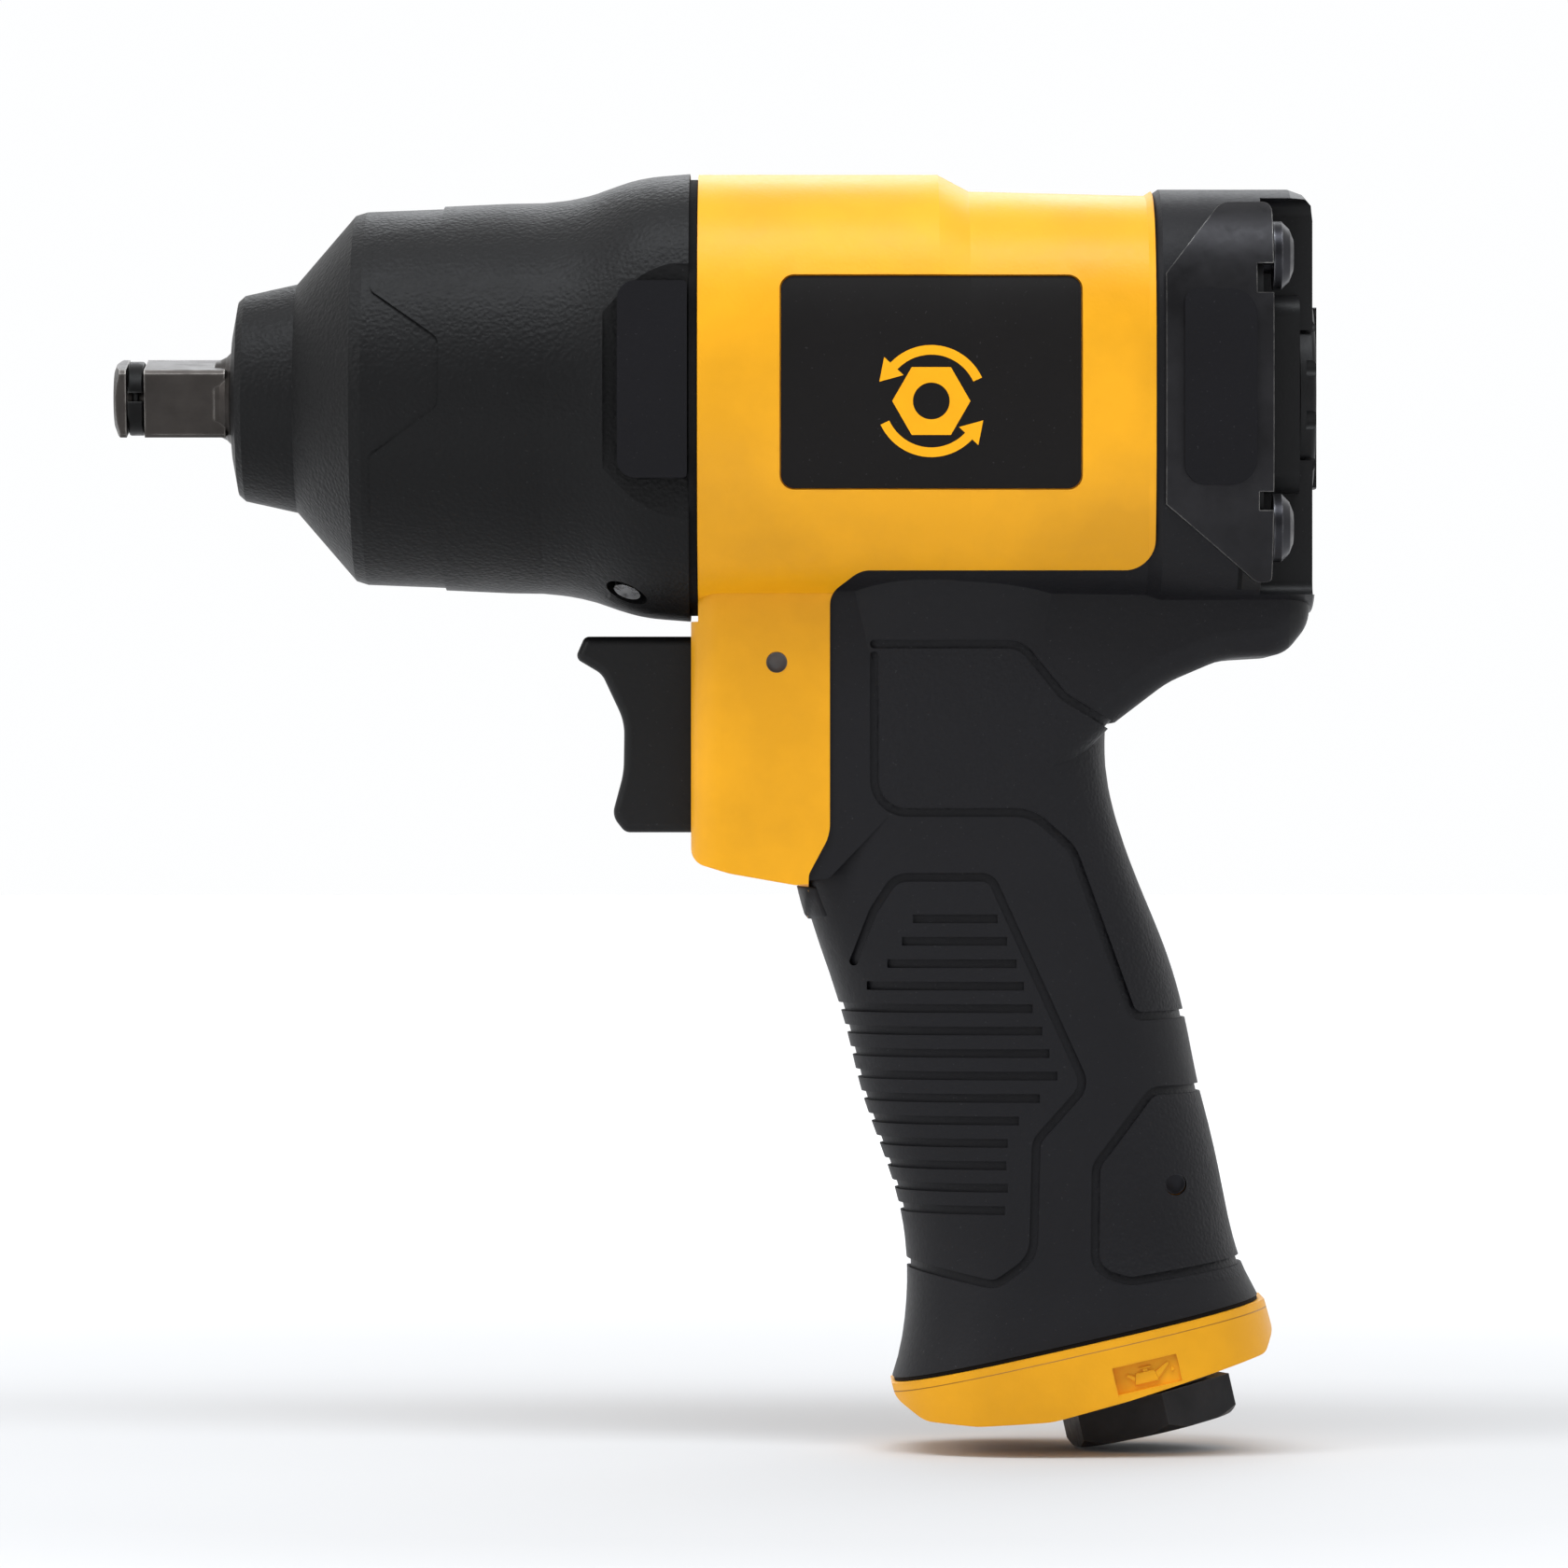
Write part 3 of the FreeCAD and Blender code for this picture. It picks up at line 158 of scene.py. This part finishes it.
def side_of(tree, p, q, soft=0.0004):
    """1 to the right of the line from p to q in side view (x, z in mm), 0 to its left."""
    xyz = add(tree, "ShaderNodeSeparateXYZ")
    plug(tree, xyz.inputs[0], coords(tree))
    dx, dz = (q[0] - p[0]) * MM, (q[1] - p[1]) * MM
    size = math.hypot(dx, dz)
    a, b = dz / size, -dx / size
    across = calc(tree, "MULTIPLY", xyz.outputs["X"], a)
    up = calc(tree, "MULTIPLY", xyz.outputs["Z"], b)
    level = calc(tree, "SUBTRACT", calc(tree, "ADD", across, up), (a * p[0] + b * p[1]) * MM)
    return ramp(tree, level, -soft, soft)


def inside(tree, outline):
    """1 inside a convex outline drawn clockwise in side view."""
    total = 1.0
    for p, q in zip(outline, outline[1:] + outline[:1]):
        total = calc(tree, "MULTIPLY", side_of(tree, p, q), total)
    return total


def new_material(name):
    mat = bpy.data.materials.new(name)
    mat.use_nodes = True
    return mat, mat.node_tree, mat.node_tree.nodes["Principled BSDF"]


def moulded(name, colour, rough, grain_size, depth, level=0.2, regions=None, specks=0.03, dirt=None,
            lip=False):
    """Moulded plastic or rubber: uneven sheen, moulded grain, fine specks of dust, edges rubbed paler.

    The grain is full inside the given regions and faint elsewhere. The lip is a groove along CAP_LIP: a
    bumped step, with painted shade darkening a thin band along it.
    """
    mat, tree, bsdf = new_material(name)
    broad = noise(tree, 45.0, 5.0)
    fine = noise(tree, 1200.0, 3.0)
    sheen = calc(tree, "ADD", ramp(tree, broad, 0.3, 0.7, rough - 0.06, rough + 0.06),
                 ramp(tree, fine, 0.3, 0.7, -0.03, 0.03))
    dark = tuple(c * 0.9 for c in colour)
    light = tuple(min(1.0, c * 1.08) for c in colour)
    base = mix(tree, ramp(tree, broad, 0.35, 0.65), dark, light)
    if specks:
        dust = ramp(tree, noise(tree, 2600.0, 1.0), 0.735, 0.78)
        base = mix(tree, calc(tree, "MULTIPLY", dust, specks), base, (0.55, 0.55, 0.56))
    if dirt:
        patchy = ramp(tree, noise(tree, 300.0), 0.35, 0.6)
        rubbed = calc(tree, "MULTIPLY", edges(tree, 0.0007, 0.6, 0.97), patchy)
        base = mix(tree, calc(tree, "MULTIPLY", rubbed, 0.55), base, dirt)
    pebbles = grain(tree, grain_size)
    strength = 1.0
    if regions:
        strength = 0.0
        for outline in regions:
            strength = calc(tree, "MAXIMUM", inside(tree, outline), strength)
        strength = ramp(tree, strength, 0.0, 1.0, 0.22, 1.0)
    normal = bump(tree, calc(tree, "MULTIPLY", pebbles, strength), depth)
    normal = bump(tree, noise(tree, 30.0, 2.0), 0.00012, normal)
    if lip:
        below = side_of(tree, *CAP_LIP, 0.00010)
        # painted shade: a thin dark band along the lip line stands in for the shadow in its groove
        painted_groove_shade = calc(tree, "MULTIPLY", below, calc(tree, "SUBTRACT", 1.0, below))
        base = mix(tree, ramp(tree, painted_groove_shade, 0.0, 0.25, 0.0, 0.75), base, (0.25, 0.09, 0.004))
        normal = bump(tree, below, 0.0003, normal)
    plug(tree, bsdf.inputs["Base Color"], base)
    plug(tree, bsdf.inputs["Roughness"], sheen)
    plug(tree, bsdf.inputs["Normal"], normal)
    bsdf.inputs["Specular IOR Level"].default_value = level
    return mat


def metal(name, colour, rough, worn=(0.6, 0.59, 0.57), wear=0.5, brushed=(900.0, 900.0, 900.0),
          edge=0.0005, metallic=1.0, scratch=0.000012):
    """Metal with mottled finish and worn edges, scratched along the axis with the lowest brushed value."""
    mat, tree, bsdf = new_material(name)
    broad = noise(tree, 150.0, 6.0)
    base = mix(tree, ramp(tree, broad, 0.3, 0.7), tuple(c * 0.72 for c in colour),
               tuple(min(1.0, c * 1.25) for c in colour))
    if wear:
        patchy = ramp(tree, noise(tree, 500.0), 0.3, 0.55, 0.15)
        rubbed = calc(tree, "MULTIPLY", edges(tree, edge, 0.7, 0.985), patchy)
        base = mix(tree, calc(tree, "MULTIPLY", rubbed, wear), base, worn)
    lines = noise(tree, 1.0, 5.0, stretch=brushed)
    sheen = ramp(tree, calc(tree, "ADD", broad, lines), 0.7, 1.3, rough - 0.08, rough + 0.12)
    plug(tree, bsdf.inputs["Base Color"], base)
    plug(tree, bsdf.inputs["Roughness"], sheen)
    plug(tree, bsdf.inputs["Normal"], bump(tree, lines, scratch))
    bsdf.inputs["Metallic"].default_value = metallic
    bsdf.inputs["Specular IOR Level"].default_value = 0.25
    return mat


# ---------------------------------------------------------------- materials of the CAD pieces
YELLOW = (0.82, 0.372, 0.004)
GRAINED_PARTS = [                        # raised panels of the grip in side view, x and z
    [(91.4, -34.4), (113.0, -34.4), (124.4, -45.8), (124.4, -57.5), (91.4, -57.5)],
    [(113.0, -57.5), (124.4, -44.0), (140.0, -44.0), (140.0, -85.3), (127.0, -85.6)],
    [(129.6, -95.8), (146.0, -95.5), (146.0, -121.8), (121.6, -121.8), (121.6, -106.0)],
]
BRUSHED_X = (300.0, 2500.0, 2500.0)      # scratches along the drive's axis
MATERIALS = {
    "case_black": moulded("case_black", (0.0036, 0.0036, 0.0040), 0.46, 0.00060, 0.00008, 0.18),
    "grip": moulded("grip", (0.0074, 0.0072, 0.0090), 0.53, 0.00055, 0.00009, 0.21, GRAINED_PARTS),
    "rubber": moulded("rubber", (0.0056, 0.0054, 0.0070), 0.60, 0.0003, 0.000008, 0.15),
    "o_ring": moulded("o_ring", (0.005, 0.005, 0.0055), 0.42, 0.0004, 0.000004, 0.3, specks=0.0),
    "yellow": moulded("yellow", YELLOW, 0.42, 0.0005, 0.000010, 0.3, specks=0.0, dirt=(0.62, 0.24, 0.01)),
    "black_plastic": moulded("black_plastic", (0.0062, 0.0062, 0.0068), 0.44, 0.0005, 0.00001, 0.24),
    "gasket": moulded("gasket", (0.005, 0.005, 0.0055), 0.8, 0.0004, 0.00003, 0.15, specks=0.0),
    "label": moulded("label", (0.0062, 0.0054, 0.0054), 0.52, 0.0003, 0.000002, 0.14),
    "tool_steel": metal("tool_steel", (0.046, 0.041, 0.038), 0.38, (0.34, 0.32, 0.30), 0.7, BRUSHED_X,
                        metallic=0.9),
    "bright_steel": metal("bright_steel", (0.5, 0.5, 0.51), 0.27, wear=0.3),
    "screw_steel": metal("screw_steel", (0.03, 0.03, 0.034), 0.36, (0.4, 0.4, 0.42), 0.45),
    # the guard's edges are painted paler in a thin band: worn steel in part, and in part a painted highlight
    # of edges catching light
    "guard_steel": metal("guard_steel", (0.022, 0.0215, 0.0235), 0.40, (0.42, 0.41, 0.39), 0.55, edge=0.0003,
                         metallic=0.75),
    "spring_steel": metal("spring_steel", (0.4, 0.4, 0.42), 0.3, wear=0.0),
    "bronze": metal("bronze", (0.55, 0.36, 0.16), 0.4, (0.8, 0.6, 0.35), 0.3),
    "cast_iron": metal("cast_iron", (0.2, 0.2, 0.2), 0.5, wear=0.4),
    "vane": moulded("vane", (0.22, 0.12, 0.05), 0.55, 0.0006, 0.00002, 0.4),
    "cage_brass": metal("cage_brass", (0.65, 0.47, 0.2), 0.32, wear=0.3),
    "aluminium": metal("aluminium", (0.035, 0.035, 0.038), 0.42, (0.4, 0.4, 0.41), 0.3),
    "felt": moulded("felt", (0.3, 0.3, 0.28), 0.95, 0.0008, 0.0003, 0.1),
}
SPECIAL = {                              # nodes that look different from the rest of their slot
    "base_cap": moulded("yellow_cap", YELLOW, 0.44, 0.0005, 0.000010, 0.3, specks=0.0, dirt=(0.55, 0.2, 0.01),
                        lip=True),
    "inlet_bushing": metal("inlet_black", (0.026, 0.026, 0.028), 0.46, (0.12, 0.12, 0.12), 0.3, metallic=0.6,
                           scratch=0.00002),
    # the trigger pin's steel is darkened as painted shade, since it sits deep in its hole
    "trigger_pin": metal("pin_steel_painted_shade", (0.16, 0.16, 0.16), 0.35, wear=0.3),
    "friction_ring": metal("ring_black", (0.008, 0.008, 0.008), 0.4, (0.2, 0.2, 0.2), 0.3, metallic=0.7),
}
for item in frame["record"]["subparts"]:
    mesh = nodes[item["node"]].data
    mesh.materials.clear()
    mesh.materials.append(SPECIAL.get(item["node"], MATERIALS[item["material_slot"]]))


# ---------------------------------------------------------------- raised and printed marks
def grip_place(t, s, y):
    """Point in the handle's frame (t back, s up along the handle, mm) as a world point in metres."""
    tilt = math.radians(GRIP_TILT)
    return Vector((FOOT[0] + t * math.cos(tilt) - s * math.sin(tilt), y,
                   FOOT[1] + t * math.sin(tilt) + s * math.cos(tilt))) * MM


def ring_strip(inner_radius, outer, start, stop, steps):
    """Quads between a circle and an outer shape given as a function of the angle in degrees."""
    quads = []
    for i in range(steps):
        a0, a1 = (math.radians(start + (stop - start) * k / steps) for k in (i, i + 1))
        rows = []
        for a in (a0, a1):
            out = outer(math.degrees(a))
            mid = (inner_radius + out) / 2
            rows.append([(r * math.cos(a), r * math.sin(a)) for r in (inner_radius, mid, out)])
        for k in (0, 1):
            quads.append([rows[0][k], rows[0][k + 1], rows[1][k + 1], rows[1][k]])
    return quads


def hexagon(apothem):
    """Radius of a hexagon's outline at an angle in degrees."""
    return lambda degrees: apothem / math.cos(math.radians((degrees % 60) - 30))


def arrow_head(angle, radius, size, turn):
    """Small triangle at the end of a curved arrow."""
    a = math.radians(angle)
    c = Vector((math.cos(a), math.sin(a)))
    along = Vector((-c.y, c.x)) * turn
    foot_a, foot_b = c * (radius - size * 0.62), c * (radius + size * 0.62)
    tip, mid = c * radius + along * size, c * radius
    side_a, side_b = (foot_a + tip) / 2, (foot_b + tip) / 2
    cells = [[foot_a, mid, side_a], [mid, foot_b, side_b], [mid, side_b, tip, side_a]]
    return [[tuple(corner) for corner in cell] for cell in cells]


RAY_BACK = 0.05                          # metres that a ray starts in front of its place


def inlay(name, cells, place, direction, node, thickness, proud, material, slot, rounding=0.0):
    """Thin raised shape that follows a CAD surface: each flat cell corner is dropped on to it."""
    surface = BVHTree.FromObject(nodes[node], bpy.context.evaluated_depsgraph_get())
    build = bmesh.new()
    known = {}
    toward = Vector(direction)
    for cell in cells:
        corners = []
        for point in cell:
            key = (round(point[0], 3), round(point[1], 3))
            if key not in known:
                start = place(*point)
                hit = surface.ray_cast(start - toward * RAY_BACK, toward)[0]
                known[key] = build.verts.new((hit or start) - toward * (proud - thickness / 2) * MM)
            corners.append(known[key])
        build.faces.new(corners)
    bmesh.ops.recalc_face_normals(build, faces=build.faces)
    mesh = bpy.data.meshes.new(name)
    build.to_mesh(mesh)
    build.free()
    mesh.materials.append(material)
    piece = bpy.data.objects.new(name, mesh)
    bpy.context.scene.collection.objects.link(piece)
    solid = piece.modifiers.new("thickness", "SOLIDIFY")
    solid.thickness = thickness * MM
    solid.offset = 0.0
    if rounding:
        bevel = piece.modifiers.new("rounding", "BEVEL")
        bevel.width = rounding * MM
        bevel.segments = 2
        bevel.limit_method = "ANGLE"
    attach(piece, "body")
    return piece


print_yellow = moulded("print_yellow", (0.94, 0.40, 0.004), 0.5, 0.0004, 0.000003, 0.2, specks=0.0)
PRINT = dict(thickness=0.12, proud=0.06, material=print_yellow, slot="label")
BESIDE, ABOVE = 40.0, 70.0               # mm, well outside the tool's side and top
SIDES = ((-1, "left"), (1, "right"))
NUT_BORE, NUT_APOTHEM = 2.5, 4.6
ARROW_INNER, ARROW_MIDDLE, ARROW_OUTER = 6.3, 6.95, 7.6
ARROW_SWEEP = 112                        # degrees
ARROW_HEAD = 2.9


def make_turn_marks():
    """Hexagon nut with two arrows turning round it, on each side label."""
    cells = ring_strip(NUT_BORE, hexagon(NUT_APOTHEM), 0, 360, 48)
    for start in (25, 205):
        cells += ring_strip(ARROW_INNER, lambda angle: ARROW_OUTER, start, start + ARROW_SWEEP, 22)
        cells += arrow_head(start + ARROW_SWEEP, ARROW_MIDDLE, ARROW_HEAD, 1)
    x, z = TURN_MARK_AT
    for side, word in SIDES:
        inlay("turn_mark_" + word, cells,
              lambda u, v, side=side: Vector((x - side * u, side * BESIDE, z + v)) * MM,
              (0, -side, 0), "side_label_" + word, **PRINT)


CHEVRONS = 5
CHEVRON_FRONT = 108.0                    # x of the first one's tip
CHEVRON_PITCH = 4.0
CHEVRON_LINE, CHEVRON_LEAN, CHEVRON_HALF = 1.6, 2.4, 2.6


def make_chevrons():
    cells = []
    for i in range(CHEVRONS):
        x = CHEVRON_FRONT + CHEVRON_PITCH * i
        for sign in (-1, 1):
            y = CHEVRON_HALF * sign
            cells.append([(x, 0), (x + CHEVRON_LINE, 0), (x + CHEVRON_PITCH, y), (x + CHEVRON_LEAN, y)])
    inlay("top_chevrons", cells, lambda u, v: Vector((u, v, ABOVE)) * MM, (0, 0, -1), "top_label", **PRINT)


OIL_CAN = [                              # body, neck, lid, spout, handle and drop
    [(-1.9, -1.15), (1.5, -1.15), (1.1, 0.45), (-1.5, 0.45)],
    [(-0.45, 0.45), (0.25, 0.45), (0.25, 0.85), (-0.45, 0.85)],
    [(-0.95, 0.85), (0.75, 0.85), (0.75, 1.15), (-0.95, 1.15)],
    [(1.42, -0.9), (1.17, 0.1), (3.05, 1.15), (3.3, 0.8)],
    [(-1.62, 0.0), (-1.8, -0.7), (-2.9, 0.35), (-2.6, 0.62)],
    [(3.55, 0.45), (3.85, -0.1), (3.55, -0.45), (3.25, -0.1)],
]


def make_oil_marks():
    """Raised oil can on each side of the base cap."""
    back, up = OIL_MARK_AT
    for side, word in SIDES:
        inlay("oil_mark_" + word, OIL_CAN,
              lambda u, v, side=side: grip_place(back - side * u, up + v, side * BESIDE),
              (0, -side, 0), "base_cap", thickness=0.6, proud=0.35, material=SPECIAL["base_cap"],
              slot="yellow", rounding=0.1)


make_turn_marks()
make_chevrons()
make_oil_marks()


# ---------------------------------------------------------------- lip of the grip skin
LIP_TOP = -67.75                         # z of its upper row; rows follow every LIP_ROW downward
LIP_ROW = 0.55
LIP_ROWS = 9
LIP_HALF = 12.0                          # half width across the handle
LIP_CELLS = 16                           # cells in each half
LIP_FLAT = 12                            # cells from the middle that don't sink toward the side
LIP_SINK = 0.0003                        # metres that its outer edges go into the handle
LIP_PROUD = 0.00012
LIP_RAY_X = 40.0                         # x of the rays' start, in front of the handle
LIP_THICKNESS = 0.00016


def make_grip_lip():
    """Thin lip of the grip skin, wrapped round the front of the handle just below the yellow housing."""
    depsgraph = bpy.context.evaluated_depsgraph_get()
    faces_behind = [BVHTree.FromObject(nodes[n], depsgraph) for n in ("motor_housing", "grip_overmould")]
    build = bmesh.new()
    rows = []
    for i in range(LIP_ROWS):
        z = LIP_TOP - LIP_ROW * i
        row = []
        for k in range(-LIP_CELLS, LIP_CELLS + 1):
            start = Vector((LIP_RAY_X, LIP_HALF * k / LIP_CELLS, z)) * MM
            hits = [surface.ray_cast(start, Vector((1, 0, 0))) for surface in faces_behind]
            depth = min(hit[0].x for hit in hits if hit[0])
            outward = max(0.0, (abs(k) - LIP_FLAT) / (LIP_CELLS - LIP_FLAT))
            sunk = LIP_SINK * outward ** 2 + (LIP_SINK if i == LIP_ROWS - 1 else 0.0)
            row.append(build.verts.new((depth - LIP_PROUD + sunk, start.y, start.z)))
        rows.append(row)
    for upper, under in zip(rows, rows[1:]):
        for k in range(2 * LIP_CELLS):
            build.faces.new((upper[k], upper[k + 1], under[k + 1], under[k]))
    bmesh.ops.recalc_face_normals(build, faces=build.faces)
    mesh = bpy.data.meshes.new("grip_lip")
    build.to_mesh(mesh)
    build.free()
    mesh.materials.append(MATERIALS["grip"])
    mesh.shade_smooth()
    piece = bpy.data.objects.new("grip_lip", mesh)
    bpy.context.scene.collection.objects.link(piece)
    solid = piece.modifiers.new("thickness", "SOLIDIFY")
    solid.thickness = LIP_THICKNESS
    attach(piece, "body")


make_grip_lip()


# ---------------------------------------------------------------- camera, floor and light
def look_at(obj, target):
    obj.rotation_euler = (Vector(target) - obj.location).to_track_quat("-Z", "Y").to_euler()


def area_light(name, place, target, size, power, colour=(1, 1, 1)):
    data = bpy.data.lights.new(name, "AREA")
    data.shape = "RECTANGLE"
    data.size, data.size_y = size
    data.energy = power
    data.color = colour
    obj = bpy.data.objects.new(name, data)
    bpy.context.scene.collection.objects.link(obj)
    obj.location = place
    look_at(obj, target)


CENTRE = Vector((0.0790, 0.0, -0.0536))  # metres, what the camera and the lights look at
CAMERA_DISTANCE = 1.2
FLOOR_GAP = 0.0002                       # metres between the floor and the lowest point of the tool


def make_camera():
    """Long lens that looks straight at the left side, as the photo does."""
    data = bpy.data.cameras.new("camera")
    data.lens = 198.0
    data.sensor_width = 36.0
    data.clip_start = 0.01
    camera = bpy.data.objects.new("camera", data)
    bpy.context.scene.collection.objects.link(camera)
    camera.location = CENTRE + Vector((0, -CAMERA_DISTANCE, 0))
    look_at(camera, CENTRE)
    bpy.context.scene.camera = camera
    bpy.context.scene.view_settings.view_transform = "Standard"


def make_floor():
    """Pale floor with painted light: its colour grows lighter and it glows faintly with distance, so that no
    horizon shows.
    """
    bpy.ops.mesh.primitive_plane_add(size=12.0, location=(0.08, 0.0, cad_box[0][2] - FLOOR_GAP))
    floor = bpy.context.object
    floor.name = "floor"
    mat, tree, bsdf = new_material("floor")
    spread = add(tree, "ShaderNodeVectorMath", operation="LENGTH")
    plug(tree, spread.inputs[0], coords(tree))
    distance = spread.outputs["Value"]
    painted_light_far = ramp(tree, distance, 0.15, 0.9)
    # painted light: the floor's colour brightens away from the tool, standing in for light that fades with
    # distance
    plug(tree, bsdf.inputs["Base Color"], mix(tree, painted_light_far, (0.60, 0.60, 0.605), (0.97, 0.97, 0.975)))
    # painted light: a faint glow further out, though the floor is no lamp
    bsdf.inputs["Emission Color"].default_value = (1, 1, 1, 1)
    plug(tree, bsdf.inputs["Emission Strength"], ramp(tree, distance, 0.25, 1.2, 0.0, 0.2))
    bsdf.inputs["Roughness"].default_value = 0.8
    bsdf.inputs["Specular IOR Level"].default_value = 0.1
    floor.data.materials.append(mat)


def make_world():
    """White surroundings, half as strong behind the camera as behind the tool."""
    world = bpy.data.worlds.new("studio")
    bpy.context.scene.world = world
    world.use_nodes = True
    tree = world.node_tree
    backdrop = tree.nodes["Background"]
    backdrop.inputs["Color"].default_value = (0.99, 0.995, 1.0, 1)
    way = add(tree, "ShaderNodeSeparateXYZ")
    plug(tree, way.inputs[0], add(tree, "ShaderNodeTexCoord").outputs["Generated"])
    plug(tree, backdrop.inputs["Strength"], ramp(tree, way.outputs["Y"], -0.75, 0.1, 0.5, 1.0))


make_camera()
make_floor()
make_world()
area_light("top", (0.0, -0.40, 0.85), CENTRE, (1.1, 0.3), 8.5, (0.92, 0.96, 1.0))
area_light("key", (-0.7, -0.55, 0.40), CENTRE, (0.35, 0.5), 1.6)
area_light("back", (0.25, 0.8, 0.6), CENTRE, (0.9, 0.5), 3.0, (0.93, 0.96, 1.0))
